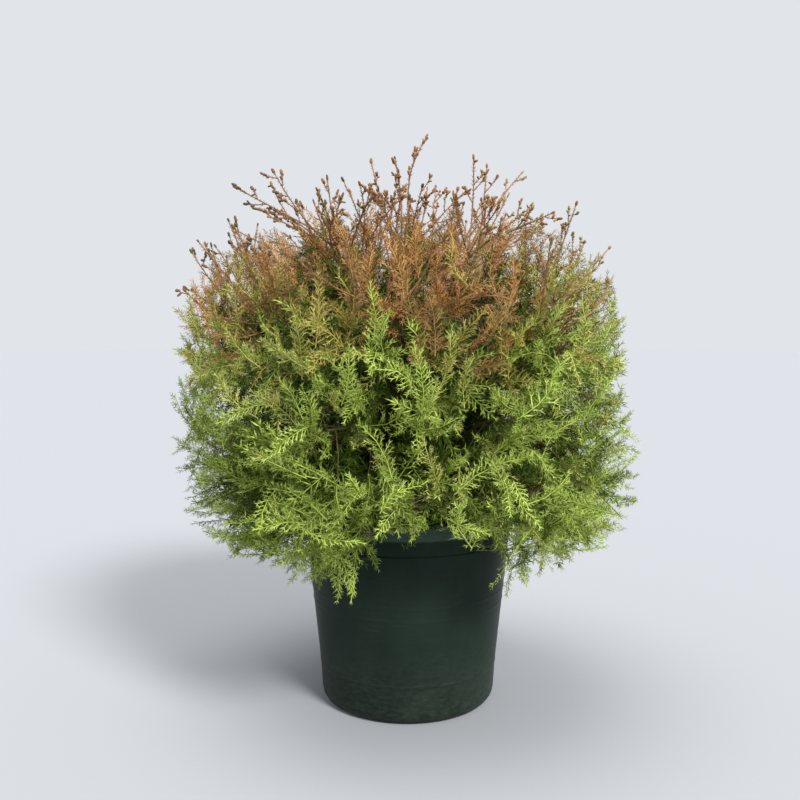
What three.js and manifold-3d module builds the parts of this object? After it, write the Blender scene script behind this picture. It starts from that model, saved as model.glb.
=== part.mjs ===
// A potted eastern arborvitae, a dwarf globe form with feathery young foliage, in millimetres, +Z up.
// The origin is the middle of the pot's flat underside. +X is the plant's right, -Y its front.
import * as THREE from 'three';
import { mergeVertices } from 'three/addons/utils/BufferGeometryUtils.js';
import Module from 'manifold-3d';

const wasm = await Module();
wasm.setup();

// The container: a round nursery pot of about 13 cm, with a rolled lip above a collar and a groove.
const POT = {
  height: 127,
  facets: 40,
  wall: 2,
  floor: 3,
  footRadius: 49,
  footCurve: 7.2,
  baseRadius: 55.2,
  flare: 0.1,
  grooveHeight: 108,
  grooveDepth: 0.8,
  collarRadius: 66.3,
  lipBottom: 117.5,
  lipRadius: 68,
  lipCurve: 1.6,
  lipInner: 64.2,
  edge: 0.6,
};

// The growing medium that fills it, with a level place round the stem.
const MEDIUM = { top: 116, edgeTop: 113.5, dipTop: 114.5, ridgeTop: 115, seatRadius: 14, facets: 24 };

// Every two solids that meet keep this much air between them.
const GAP = 0.3;

// The main stem: short and thick at the foot, tapering up through the crown with a slight lean.
const STEM = {
  top: 256,
  radius: 6.2,
  tipRadius: 1.7,
  flareRadius: 5.2,
  flareHeight: 9,
  leanX: -5,
  leanY: 4,
  sides: 9,
  steps: 12,
};

// The crown's own outline: a barrel with a dome above it, drawn in straight under the belly.
const CROWN = {
  girth: 149,
  bellyLow: 128,
  bellyHigh: 236,
  crest: 322,
  domeRoundness: 2.3,
  heart: 190,
  heartPull: 0.4,
  slack: 1,
  hemRadius: 86,
  hemDrop: 44,
};

// The lowest point of the foliage below each skirt mass, anticlockwise from the plant's right.
const HEMS = [106, 95, 90, 98, 103, 88, 134, 86];

// The tiers of masses. "rise" is the height at which a bough leaves the stem, "foot" where its mass
// begins, "tip" where the mass's own stem ends, "site" the middle of the mass's space, and "core"
// the half sizes of the dense heart that the sprays stand out of: deep, wide and high.
const TIERS = [
  {
    name: 'skirt', count: 8, phase: 8, rise: 121, riseStep: 1.3, boughRadius: 2.1,
    foot: { out: 60, height: 140 }, tip: { out: 147, height: 118 },
    site: { out: 104, height: 122 }, core: [30, 42, 27], twigs: 4, sprays: 7,
  },
  {
    name: 'waist', count: 8, phase: 30, rise: 134, riseStep: 1.5, boughRadius: 2.2,
    foot: { out: 54, height: 168 }, tip: { out: 148, height: 190 },
    site: { out: 104, height: 180 }, core: [27, 42, 34], twigs: 4, sprays: 7,
  },
  {
    name: 'shoulder', count: 7, phase: 12, rise: 150, riseStep: 2.2, boughRadius: 2.1,
    foot: { out: 46, height: 204 }, tip: { out: 141, height: 258 },
    site: { out: 100, height: 243 }, core: [30, 42, 32], twigs: 4, sprays: 7,
  },
  {
    name: 'top', count: 4, phase: 40, rise: 178, riseStep: 5, boughRadius: 1.8,
    foot: { out: 26, height: 236 }, tip: { out: 78, height: 306 },
    site: { out: 56, height: 288 }, core: [26, 32, 22], twigs: 3, sprays: 6,
  },
];

// How a mass is laid out from its tier: the seeds, how far its ends vary, how its limbs bend, and
// the stride that puts neighbouring boughs at different heights on the stem.
const PLAN = {
  seedFirst: 17,
  seedStep: 7919,
  footVary: 3,
  tipHeightVary: 7,
  tipOutVary: 2,
  turnVary: 6,
  hemBelowTip: 14,
  footLift: 0.3,
  siteDrop: 0.45,
  boughBendOut: 0.62,
  boughBendUp: 0.38,
  stemBend: 0.45,
  riseStride: 3,
  tipGap: 0.4,
};

// The crest mass grows on from the stem's own tip.
const CREST = { tipX: 2, tipY: -3, height: 320, siteRise: 8, core: [22, 22, 18], twigs: 2, sprays: 4 };

// Twigs, three-sided, and the flat toothed sprays of needles that they carry.
const TWIG = {
  sides: 3,
  stemRadius: 1.3,
  stemTipRadius: 0.9,
  radius: 1.05,
  tipRadius: 0.7,
  length: 40,
  taper: 0.4,
  lengthVary: 0.3,
  first: 0.16,
  span: 0.78,
  spread: 58,
  spreadLoss: 22,
  spreadVary: 10,
  turnVary: 0.8,
  outward: 0.35,
};
const SPRAY = {
  length: 50,
  width: 26,
  thickness: 2.2,
  sunk: 8,
  coreSunk: 7,
  endSunk: 0.8,
  flowAt: 0.8,
  flow: 0.5,
  stray: 0.3,
  roll: 1.2,
};
const CORE = { along: 0.42, margin: 1.5, unevenness: 0.14, spread: 1.2 };

// The shares of its full size that a twig or a spray is tried at until it fits its space.
const SIZES = [1, 0.82, 0.66, 0.52];
const LIMB_ROOM = 0.8;
const TIP_ROOM = 2;
const POT_ROOM = 2;
const CELL_MARGIN = 0.4;
const SMALLEST_STEPS = [0.2, 0.17, 0.14, 0.1];
const LIMB = { sides: 5, steps: 4, lengths: 6 };

// Slim open shoots that stand out of the dome: across, deep and high at their tips.
const SHOOTS = [
  { across: -118, deep: 24, high: 301 },
  { across: -105, deep: -22, high: 327 },
  { across: -91, deep: 34, high: 336 },
  { across: -79, deep: -44, high: 333 },
  { across: -58, deep: 62, high: 325 },
  { across: -40, deep: -14, high: 332 },
  { across: -24, deep: 20, high: 348 },
  { across: -8, deep: -52, high: 340 },
  { across: 9, deep: -6, high: 356 },
  { across: 22, deep: 58, high: 334 },
  { across: 39, deep: -30, high: 343 },
  { across: 52, deep: 26, high: 346 },
  { across: 70, deep: -12, high: 337 },
  { across: 84, deep: 44, high: 322 },
  { across: 105, deep: -8, high: 318 },
  { across: 126, deep: 12, high: 283 },
];
const SHOOT = {
  from: 0.62,
  radius: 0.95,
  tipRadius: 0.6,
  bare: 0.5,
  leaves: 3,
  firstLeaf: 0.4,
  leafLength: 13,
  leafWidth: 6,
  leafThickness: 3.6,
  leafAngle: 48,
};

const DEGREE = Math.PI / 180;
const GOLDEN_ANGLE = Math.PI * (3 - Math.sqrt(5));
const UP = new THREE.Vector3(0, 0, 1);

const COLOURS = {
  plastic: { color: 0x263a30, roughness: 0.45, metalness: 0 },
  medium: { color: 0x2a1e16, roughness: 0.95, metalness: 0 },
  bark: { color: 0x7a5a44, roughness: 0.85, metalness: 0 },
  skirt: { color: 0x86a33a, roughness: 0.7, metalness: 0 },
  waist: { color: 0x7f9636, roughness: 0.7, metalness: 0 },
  shoulder: { color: 0x86803a, roughness: 0.7, metalness: 0 },
  top: { color: 0x9a6a3c, roughness: 0.75, metalness: 0 },
  crest: { color: 0x9c6238, roughness: 0.75, metalness: 0 },
};

const plant = new THREE.Group();

function addPart(name, geometry, colour) {
  const mesh = new THREE.Mesh(geometry, new THREE.MeshStandardMaterial(COLOURS[colour]));
  mesh.name = name;
  plant.add(mesh);
}

// Solids: a geometry becomes a manifold solid for joining and cutting, and comes back as a geometry.
function solidFrom(geometry) {
  const bare = geometry.clone();
  bare.deleteAttribute('normal');
  bare.deleteAttribute('uv');
  const merged = mergeVertices(bare, 1e-4);
  const mesh = new wasm.Mesh({
    numProp: 3,
    vertProperties: merged.attributes.position.array,
    triVerts: new Uint32Array(merged.index.array),
  });
  return new wasm.Manifold(mesh);
}

function geometryFrom(solid) {
  const mesh = solid.getMesh();
  const geometry = new THREE.BufferGeometry();
  geometry.setAttribute('position', new THREE.BufferAttribute(mesh.vertProperties, 3));
  geometry.setIndex(new THREE.BufferAttribute(mesh.triVerts, 1));
  geometry.computeVertexNormals();
  return geometry;
}

// The largest connected body of a joined solid, so loose scraps go and sealed hollows are filled.
function wholeBody(solid) {
  const bodies = solid.decompose();
  return bodies.reduce((largest, body) => (body.volume() > largest.volume() ? body : largest));
}

// Whether two points of a solid's surface share one place, so that it touches itself along an edge.
function touchesItself(solid) {
  const points = solid.getMesh().vertProperties;
  const places = new Set();
  for (let i = 0; i < points.length; i += 3) {
    places.add([points[i], points[i + 1], points[i + 2]].map((value) => value.toFixed(3)).join(' '));
  }
  return places.size < points.length / 3;
}

// The body with its smallest steps smoothed away, as far as that leaves it clear of itself.
function plainBody(solid) {
  const tries = SMALLEST_STEPS.map((step) => wholeBody(solid.asOriginal().simplify(step)));
  return tries.find((body) => !touchesItself(body));
}

// A seeded run of numbers from 0 to 1, the same on every run.
function randomFrom(seed) {
  let state = seed;
  return () => {
    state = (state * 1664525 + 1013904223) % 4294967296;
    return state / 4294967296;
  };
}

function polar(out, degrees, height) {
  return new THREE.Vector3(out * Math.cos(degrees * DEGREE), out * Math.sin(degrees * DEGREE), height);
}

// A tapering limb: a cylinder whose rings are laid along a curve. "across" is a level direction
// square to the curve's own plane.
function limbGeometry(curve, across, radiusAt, sides, steps) {
  const geometry = new THREE.CylinderGeometry(1, 1, 1, sides, steps);
  const position = geometry.attributes.position;
  for (let i = 0; i < position.count; i += 1) {
    const along = THREE.MathUtils.clamp(position.getY(i) + 0.5, 0, 1);
    const heading = curve.getTangent(along);
    const side = across.clone().addScaledVector(heading, -across.dot(heading)).normalize();
    const rise = heading.clone().cross(side);
    const radius = radiusAt(along);
    const point = curve.getPoint(along);
    point.addScaledVector(side, position.getX(i) * radius);
    point.addScaledVector(rise, -position.getZ(i) * radius);
    position.setXYZ(i, point.x, point.y, point.z);
  }
  return geometry;
}

// A straight three-sided twig between two points.
function twigGeometry(from, to, radius, tipRadius) {
  const heading = to.clone().sub(from);
  const geometry = new THREE.CylinderGeometry(tipRadius, radius, heading.length(), TWIG.sides, 1);
  const turn = new THREE.Quaternion().setFromUnitVectors(new THREE.Vector3(0, 1, 0), heading.normalize());
  geometry.applyQuaternion(turn);
  geometry.translate((from.x + to.x) / 2, (from.y + to.y) / 2, (from.z + to.z) / 2);
  return geometry;
}

// The outline of one half of a spray, as shares of its length and of its width, root to tip.
const TOOTHED_EDGE = [[0.5, 0.5], [0.5, 0.22], [0.8, 0.34]];
const PLAIN_EDGE = [[0.55, 0.5]];
const RIDGE_AT = 0.34;

// A blade with a toothed edge, thick at its ridge and thin at its rim, from a root towards a tip.
function bladeGeometry(root, heading, flat, length, width, thickness, edge) {
  const outline = [[0, 0]];
  edge.forEach(([along, out]) => outline.push([along * length, out * width]));
  outline.push([length, 0]);
  [...edge].reverse().forEach(([along, out]) => outline.push([along * length, -out * width]));
  const normal = heading.clone().cross(flat);
  const points = outline.map(([along, out]) => (
    root.clone().addScaledVector(heading, along).addScaledVector(flat, out)));
  const middle = root.clone().addScaledVector(heading, RIDGE_AT * length);
  points.push(middle.clone().addScaledVector(normal, thickness / 2));
  points.push(middle.clone().addScaledVector(normal, -thickness / 2));
  const top = outline.length;
  const bottom = outline.length + 1;
  const faces = [];
  for (let i = 0; i < outline.length; i += 1) {
    const next = (i + 1) % outline.length;
    faces.push(next, i, top, i, next, bottom);
  }
  const geometry = new THREE.BufferGeometry().setFromPoints(points);
  geometry.setIndex(faces);
  return geometry;
}

// The pot and what fills it.
function wallRadius(height) {
  return POT.baseRadius + POT.flare * height;
}

function lathe(profile, facets) {
  const points = profile.map(([radius, height]) => new THREE.Vector2(radius, height));
  const geometry = new THREE.LatheGeometry(points, facets);
  geometry.rotateX(Math.PI / 2);
  return geometry;
}

function potGeometry() {
  const profile = [[0, 0], [POT.footRadius, 0]];
  for (const angle of [-60, -30, 0]) {
    const out = POT.footRadius + POT.footCurve * Math.cos(angle * DEGREE);
    profile.push([out, POT.footCurve * (1 + Math.sin(angle * DEGREE))]);
  }
  const groove = POT.grooveHeight;
  profile.push([wallRadius(groove - POT.edge), groove - POT.edge]);
  profile.push([wallRadius(groove) - POT.grooveDepth, groove]);
  profile.push([POT.collarRadius, groove + POT.edge]);
  profile.push([POT.collarRadius, POT.lipBottom]);
  profile.push([POT.lipRadius, POT.lipBottom + POT.edge]);
  profile.push([POT.lipRadius, POT.height - POT.lipCurve]);
  profile.push([POT.lipRadius - POT.lipCurve, POT.height]);
  profile.push([POT.lipInner + POT.lipCurve, POT.height]);
  profile.push([POT.lipInner, POT.height - POT.lipCurve]);
  profile.push([wallRadius(groove) - POT.wall, groove]);
  profile.push([wallRadius(POT.footCurve) - POT.wall, POT.footCurve + POT.wall]);
  profile.push([POT.footRadius, POT.floor], [0, POT.floor]);
  return lathe(profile, POT.facets);
}

function mediumGeometry() {
  const low = POT.floor + GAP;
  const sideGap = 3 * GAP;
  const inner = POT.wall + sideGap;
  const profile = [
    [0, low],
    [POT.footRadius - sideGap, low],
    [wallRadius(POT.footCurve) - inner, POT.footCurve + POT.wall + GAP],
    [wallRadius(POT.grooveHeight) - inner, POT.grooveHeight],
    [POT.lipInner - sideGap, MEDIUM.edgeTop],
    [POT.lipInner * 0.7, MEDIUM.ridgeTop],
    [POT.lipInner * 0.45, MEDIUM.dipTop],
    [MEDIUM.seatRadius, MEDIUM.top],
    [0, MEDIUM.top],
  ];
  return lathe(profile, MEDIUM.facets);
}

// How far from its axis the crown reaches at a height.
function crownReach(height) {
  if (height >= CROWN.crest) return 0;
  if (height > CROWN.bellyHigh) {
    const share = (height - CROWN.bellyHigh) / (CROWN.crest - CROWN.bellyHigh);
    return CROWN.girth * (1 - share ** CROWN.domeRoundness) ** (1 / CROWN.domeRoundness);
  }
  if (height < CROWN.bellyLow) {
    const share = Math.min((CROWN.bellyLow - height) / CROWN.hemDrop, 1);
    return THREE.MathUtils.lerp(CROWN.girth, CROWN.hemRadius, share);
  }
  return CROWN.girth;
}

// The limbs: the stem, then one bough to each mass.
const stemFoot = new THREE.Vector3(0, 0, MEDIUM.top + GAP);
const stemMiddle = new THREE.Vector3(0, 0, (MEDIUM.top + STEM.top) / 2);
const stemTip = new THREE.Vector3(STEM.leanX, STEM.leanY, STEM.top);
const stemCurve = new THREE.QuadraticBezierCurve3(stemFoot, stemMiddle, stemTip);

function stemRadius(along) {
  const height = along * (STEM.top - MEDIUM.top);
  const flare = STEM.flareRadius * Math.exp(-height / STEM.flareHeight);
  return THREE.MathUtils.lerp(STEM.radius, STEM.tipRadius, along) + flare;
}

function stemSolid(spare) {
  const across = new THREE.Vector3(0, 1, 0);
  const grown = (along) => stemRadius(along) + spare;
  return solidFrom(limbGeometry(stemCurve, across, grown, STEM.sides, STEM.steps));
}

// One mass of foliage: its place, its own stem and the bough that carries it.
function planMass(tier, index, number) {
  const degrees = tier.phase + (360 / tier.count) * index;
  const random = randomFrom(number * PLAN.seedStep + PLAN.seedFirst);
  const vary = (most) => most * (2 * random() - 1);
  const isSkirt = tier.name === 'skirt';
  const hem = isSkirt ? HEMS[index] : CROWN.bellyLow;
  const hang = isSkirt ? tier.tip.height - PLAN.hemBelowTip - hem : 0;
  const footHeight = tier.foot.height + PLAN.footLift * Math.max(-hang, 0);
  const foot = polar(tier.foot.out + vary(PLAN.footVary), degrees, footHeight);
  const tipHeight = tier.tip.height - hang + vary(PLAN.tipHeightVary);
  const tipOut = Math.min(tier.tip.out + vary(PLAN.tipOutVary), crownReach(tipHeight));
  const tip = polar(tipOut, degrees + vary(PLAN.turnVary), tipHeight);
  const site = polar(tier.site.out, degrees, tier.site.height - PLAN.siteDrop * hang);
  const rise = tier.rise + tier.riseStep * ((index * PLAN.riseStride) % tier.count);
  const from = stemCurve.getPoint((rise - MEDIUM.top) / (STEM.top - MEDIUM.top));
  const bendHeight = THREE.MathUtils.lerp(rise, foot.z, PLAN.boughBendUp);
  const middle = polar(tier.foot.out * PLAN.boughBendOut, degrees, bendHeight);
  const bough = new THREE.QuadraticBezierCurve3(from, middle, foot);
  const heading = bough.getTangent(1);
  const start = foot.clone().addScaledVector(heading, PLAN.tipGap);
  const bend = start.clone().addScaledVector(heading, start.distanceTo(tip) * PLAN.stemBend);
  return {
    name: `${tier.name}_${index + 1}`,
    tier,
    degrees,
    hem,
    site,
    bough,
    across: new THREE.Vector3(-Math.sin(degrees * DEGREE), Math.cos(degrees * DEGREE), 0),
    twigs: tier.twigs,
    sprays: tier.sprays,
    core: tier.core,
    curve: new THREE.QuadraticBezierCurve3(start, bend, tip),
    random,
    shoots: [],
  };
}

const masses = [];
TIERS.forEach((tier) => {
  for (let index = 0; index < tier.count; index += 1) {
    masses.push(planMass(tier, index, masses.length));
  }
});

const crestStart = stemTip.clone().addScaledVector(stemCurve.getTangent(1), PLAN.tipGap);
const crestTip = new THREE.Vector3(CREST.tipX, CREST.tipY, CREST.height);
masses.push({
  name: 'crest',
  tier: { name: 'crest' },
  degrees: 0,
  hem: CROWN.bellyLow,
  site: new THREE.Vector3(0, 0, (STEM.top + CREST.height) / 2 + CREST.siteRise),
  bough: null,
  across: new THREE.Vector3(0, 1, 0),
  twigs: CREST.twigs,
  sprays: CREST.sprays,
  core: CREST.core,
  curve: new THREE.QuadraticBezierCurve3(crestStart, crestStart.clone().lerp(crestTip, 0.5), crestTip),
  random: randomFrom(masses.length * PLAN.seedStep + PLAN.seedFirst),
  shoots: [],
});

masses.forEach((mass) => {
  mass.middle = mass.curve.getPoint(CORE.along);
});

function nearestMass(point) {
  return masses.reduce((best, mass) => (
    mass.site.distanceTo(point) < best.site.distanceTo(point) ? mass : best));
}

SHOOTS.forEach((shoot) => {
  const tip = new THREE.Vector3(shoot.across, shoot.deep, shoot.high);
  nearestMass(tip).shoots.push(tip);
});

// Short straight lengths of every limb, for keeping twigs and sprays clear of them.
const limbLengths = [];

function noteLimb(curve, radiusAt, count) {
  for (let i = 0; i < count; i += 1) {
    limbLengths.push({
      from: curve.getPoint(i / count),
      to: curve.getPoint((i + 1) / count),
      radius: radiusAt(i / count),
    });
  }
}

function boughRadius(mass) {
  const { boughRadius: foot } = mass.tier;
  return (along) => THREE.MathUtils.lerp(foot, TWIG.stemRadius, along);
}

const carried = masses.filter((mass) => mass.bough);
noteLimb(stemCurve, stemRadius, STEM.steps);
carried.forEach((mass) => noteLimb(mass.bough, boughRadius(mass), LIMB.lengths));

function distanceToLength(point, length) {
  const span = length.to.clone().sub(length.from);
  const share = point.clone().sub(length.from).dot(span) / span.lengthSq();
  const nearest = length.from.clone().addScaledVector(span, THREE.MathUtils.clamp(share, 0, 1));
  return nearest.distanceTo(point);
}

// A point is free for a mass where it is inside the mass's own space and the crown, clear of the
// pot and of every limb.
function isFree(point, mass, beyondCrown) {
  for (const other of masses) {
    if (other === mass) continue;
    const apart = other.site.clone().sub(mass.site);
    const middle = other.site.clone().add(mass.site).multiplyScalar(0.5);
    if (point.clone().sub(middle).dot(apart) / apart.length() > -CELL_MARGIN) return false;
  }
  const out = Math.hypot(point.x, point.y);
  if (!beyondCrown && (out > crownReach(point.z) + CROWN.slack || point.z < mass.hem)) return false;
  if (point.z < POT.height + POT_ROOM && out < POT.lipRadius + POT_ROOM) return false;
  return limbLengths.every((length) => distanceToLength(point, length) > length.radius + LIMB_ROOM);
}

// The blade's own points that are tried: its tip, its widest corners and its ridge.
function bladeFits(root, heading, flat, length, width, mass) {
  const tip = root.clone().addScaledVector(heading, length);
  const ridge = root.clone().addScaledVector(heading, RIDGE_AT * length);
  const wide = root.clone().addScaledVector(heading, 0.5 * length);
  const left = wide.clone().addScaledVector(flat, width / 2);
  const right = wide.clone().addScaledVector(flat, -width / 2);
  return [tip, ridge, left, right].every((point) => isFree(point, mass, false));
}

// A direction square to the heading, turned about it by an angle from the level.
function squareTo(heading, angle) {
  const level = heading.clone().cross(UP);
  if (level.lengthSq() < 1e-6) level.set(1, 0, 0);
  level.normalize();
  const rise = level.clone().cross(heading);
  return level.multiplyScalar(Math.cos(angle)).addScaledVector(rise, Math.sin(angle));
}

// A direction square to the heading and level with the crown's surface there, then rolled a little.
function flatAcross(heading, out, roll) {
  const flat = heading.clone().cross(out);
  if (flat.lengthSq() < 0.01) flat.copy(squareTo(heading, 0));
  return flat.normalize().applyAxisAngle(heading, roll);
}

// The largest of the sizes at which a spray fits from its root, or none.
function growBlade(pieces, root, heading, out, roll, mass) {
  const flat = flatAcross(heading, out, roll);
  for (const size of SIZES) {
    const length = SPRAY.length * size;
    const width = SPRAY.width * size;
    if (bladeFits(root, heading, flat, length, width, mass)) {
      pieces.push(bladeGeometry(root, heading, flat, length, width, SPRAY.thickness, TOOTHED_EDGE));
      return;
    }
  }
}

// A twig with a spray that runs on from its tip.
function growTwig(pieces, mass, number) {
  const along = TWIG.first + (TWIG.span * (number + 0.5)) / mass.twigs;
  const from = mass.curve.getPoint(along);
  const heading = mass.curve.getTangent(along);
  const vary = TWIG.spreadVary * (mass.random() - 0.5);
  const spread = (TWIG.spread - TWIG.spreadLoss * along + vary) * DEGREE;
  const side = squareTo(heading, number * GOLDEN_ANGLE + TWIG.turnVary * mass.random());
  const out = new THREE.Vector3(from.x, from.y, CROWN.heartPull * (from.z - CROWN.heart)).normalize();
  const way = heading.multiplyScalar(Math.cos(spread)).addScaledVector(side, Math.sin(spread));
  way.addScaledVector(out, TWIG.outward).normalize();
  const full = TWIG.length * (1 - TWIG.taper * along) * (1 + TWIG.lengthVary * (mass.random() - 0.5));
  const roll = SPRAY.roll * (mass.random() - 0.5);
  for (const size of SIZES) {
    const to = from.clone().addScaledVector(way, full * size);
    if (isFree(to, mass, false)) {
      pieces.push(twigGeometry(from, to, TWIG.radius, TWIG.tipRadius));
      growBlade(pieces, to.clone().addScaledVector(way, -SPRAY.sunk), way, out, roll, mass);
      return;
    }
  }
}

// A slim shoot from the mass's stem to its own tip, with small leaves set alternately near its end.
function growShoot(pieces, mass, tip) {
  const from = mass.curve.getPoint(SHOOT.from);
  const way = tip.clone().sub(from).normalize();
  pieces.push(twigGeometry(from, tip, SHOOT.radius, SHOOT.tipRadius));
  for (let i = 0; i < SHOOT.leaves; i += 1) {
    const along = SHOOT.bare + ((1 - SHOOT.bare) * (i + SHOOT.firstLeaf)) / SHOOT.leaves;
    const side = squareTo(way, i * GOLDEN_ANGLE);
    const leaf = way.clone().multiplyScalar(Math.cos(SHOOT.leafAngle * DEGREE));
    leaf.addScaledVector(side, Math.sin(SHOOT.leafAngle * DEGREE)).normalize();
    const root = from.clone().lerp(tip, along).addScaledVector(leaf, -SHOOT.radius);
    const flat = squareTo(leaf, i);
    const end = root.clone().addScaledVector(leaf, SHOOT.leafLength);
    if (isFree(end, mass, true)) {
      const { leafLength, leafWidth, leafThickness } = SHOOT;
      pieces.push(bladeGeometry(root, leaf, flat, leafLength, leafWidth, leafThickness, PLAIN_EDGE));
    }
  }
}

// Which way a mass faces: outward, and a little up above the belly.
function outwardOf(mass) {
  const from = new THREE.Vector3(0, 0, CROWN.heart);
  return mass.site.clone().sub(from).normalize();
}

// The half-space that keeps a mass on its own side of a neighbour.
function wallBetween(mass, other) {
  const normal = mass.site.clone().sub(other.site).normalize();
  const middle = mass.site.clone().add(other.site).multiplyScalar(0.5);
  return { normal, offset: normal.dot(middle) + CORE.margin };
}

// How far the core reaches from its middle in a direction, inside the mass's own space.
function coreReach(mass, way) {
  const turned = way.clone().applyAxisAngle(UP, -mass.degrees * DEGREE);
  const [deep, wide, high] = mass.core;
  let reach = 1 / Math.hypot(turned.x / deep, turned.y / wide, turned.z / high);
  for (const other of masses) {
    if (other === mass) continue;
    const wall = wallBetween(mass, other);
    const room = mass.middle.dot(wall.normal) - wall.offset;
    const speed = -way.dot(wall.normal);
    if (speed > 1e-6) reach = Math.min(reach, room / speed);
  }
  return reach;
}

// The dense core of a mass: an uneven ball cut back to the mass's own space and clear of the limbs.
function coreSolid(mass) {
  const ball = new THREE.OctahedronGeometry(1, 1).deleteAttribute('normal').deleteAttribute('uv');
  const geometry = mergeVertices(ball);
  const position = geometry.attributes.position;
  for (let i = 0; i < position.count; i += 1) {
    const size = 1 + CORE.unevenness * (mass.random() - 0.5);
    position.setXYZ(i, position.getX(i) * size, position.getY(i) * size, position.getZ(i) * size);
  }
  geometry.scale(...mass.core);
  geometry.rotateZ(mass.degrees * DEGREE);
  geometry.translate(mass.middle.x, mass.middle.y, mass.middle.z);
  let solid = solidFrom(geometry);
  masses.filter((other) => other !== mass).forEach((other) => {
    const wall = wallBetween(mass, other);
    solid = solid.trimByPlane(wall.normal.toArray(), wall.offset);
  });
  return solid.subtract(limbsWithRoom).subtract(potWithRoom);
}

// A spray that stands out of the core, on a spiral over the side that faces out.
function growCoreSpray(pieces, mass, number) {
  const out = outwardOf(mass);
  const level = 1 - (CORE.spread * (number + 0.5)) / mass.sprays;
  const side = squareTo(out, number * GOLDEN_ANGLE + mass.degrees);
  const way = out.clone().multiplyScalar(level).addScaledVector(side, Math.sqrt(1 - level * level));
  const root = mass.middle.clone().addScaledVector(way, coreReach(mass, way) - SPRAY.coreSunk);
  const heading = mass.curve.getTangent(SPRAY.flowAt).multiplyScalar(SPRAY.flow);
  heading.addScaledVector(way, 1 - SPRAY.flow);
  heading.addScaledVector(squareTo(way, 2 * Math.PI * mass.random()), SPRAY.stray).normalize();
  growBlade(pieces, root, heading, way, SPRAY.roll * (mass.random() - 0.5), mass);
}

const potWithRoom = solidFrom(lathe([
  [0, 0],
  [POT.lipRadius + GAP, 0],
  [POT.lipRadius + GAP, POT.height + GAP],
  [0, POT.height + GAP],
], POT.facets));

function boughSolid(mass, spare) {
  const radiusAt = boughRadius(mass);
  const grown = (along) => radiusAt(along) + spare;
  return solidFrom(limbGeometry(mass.bough, mass.across, grown, LIMB.sides, LIMB.steps));
}

// The room about a limb's tip, which only the stem of its own mass comes into.
function tipRoom(curve, radius) {
  const heading = curve.getTangent(1);
  const from = curve.getPoint(1).addScaledVector(heading, -TIP_ROOM);
  const to = curve.getPoint(1).addScaledVector(heading, TIP_ROOM);
  const wide = 2 * (radius + LIMB_ROOM);
  return solidFrom(twigGeometry(from, to, wide, wide));
}

const stemWithRoom = stemSolid(GAP);
const limbsWithRoom = carried.reduce((all, mass) => {
  const room = tipRoom(mass.bough, TWIG.stemRadius);
  return all.add(boughSolid(mass, LIMB_ROOM)).add(room);
}, stemSolid(LIMB_ROOM).add(tipRoom(stemCurve, STEM.tipRadius)));

function massSolid(mass) {
  const pieces = [];
  for (let number = 0; number < mass.twigs; number += 1) growTwig(pieces, mass, number);
  const end = mass.curve.getTangent(1);
  const endRoot = mass.curve.getPoint(1).addScaledVector(end, -SPRAY.length * SPRAY.endSunk);
  growBlade(pieces, endRoot, end, outwardOf(mass), 0, mass);
  mass.shoots.forEach((tip) => growShoot(pieces, mass, tip));
  for (let number = 0; number < mass.sprays; number += 1) growCoreSpray(pieces, mass, number);
  const stemTaper = (along) => THREE.MathUtils.lerp(TWIG.stemRadius, TWIG.stemTipRadius, along);
  const stem = solidFrom(limbGeometry(mass.curve, mass.across, stemTaper, TWIG.sides, LIMB.steps));
  let solid = stem.add(coreSolid(mass));
  let body = plainBody(solid);
  for (const piece of pieces) {
    const leaf = solidFrom(piece);
    if (!leaf.intersect(limbsWithRoom).isEmpty()) continue;
    const grown = plainBody(solid.add(leaf));
    if (grown) {
      solid = solid.add(leaf);
      body = grown;
    }
  }
  return body;
}

addPart('pot', potGeometry(), 'plastic');
addPart('growing_medium', mediumGeometry(), 'medium');
addPart('main_stem', geometryFrom(stemSolid(0)), 'bark');

carried.forEach((mass) => {
  const bough = wholeBody(boughSolid(mass, 0).subtract(stemWithRoom));
  addPart(`bough_${mass.name}`, geometryFrom(bough), 'bark');
});
masses.forEach((mass) => {
  addPart(`foliage_${mass.name}`, geometryFrom(massSolid(mass)), mass.tier.name);
});

export default plant;
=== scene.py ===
"""The looks of a potted eastern arborvitae: feathery sprays, open bronze shoots and a green nursery pot.

Lengths are in millimetres until a mesh is made, and angles in degrees where a name says so.
+Z is up, the origin is the middle of the pot's flat underside, and -Y is the plant's front.
"""

import math
from itertools import product
from types import SimpleNamespace as Sizes

import bpy
import numpy as np
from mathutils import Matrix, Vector


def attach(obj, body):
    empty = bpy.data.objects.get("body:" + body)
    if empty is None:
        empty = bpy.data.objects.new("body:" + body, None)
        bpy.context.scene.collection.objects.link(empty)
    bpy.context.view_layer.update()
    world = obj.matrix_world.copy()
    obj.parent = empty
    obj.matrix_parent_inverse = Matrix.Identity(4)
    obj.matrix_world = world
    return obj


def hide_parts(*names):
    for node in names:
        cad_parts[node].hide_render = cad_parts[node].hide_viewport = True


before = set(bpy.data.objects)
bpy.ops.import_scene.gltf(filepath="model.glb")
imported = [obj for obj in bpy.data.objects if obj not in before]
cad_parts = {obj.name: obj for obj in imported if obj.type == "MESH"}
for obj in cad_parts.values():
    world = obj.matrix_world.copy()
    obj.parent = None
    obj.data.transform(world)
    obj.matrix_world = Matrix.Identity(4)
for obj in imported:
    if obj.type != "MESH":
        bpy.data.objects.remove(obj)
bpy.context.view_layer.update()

MM = 0.001
GOLDEN_ANGLE = math.pi * (3 - math.sqrt(5))
UP = np.array([0.0, 0.0, 1.0])
# Slanted directions, from which a side is found for a heading, and how short a side is too weak.
ASKEW = UP + 0.3
LEANING = UP + np.array([0.31, 0.17, 0.05])
WEAK = 0.1

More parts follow.
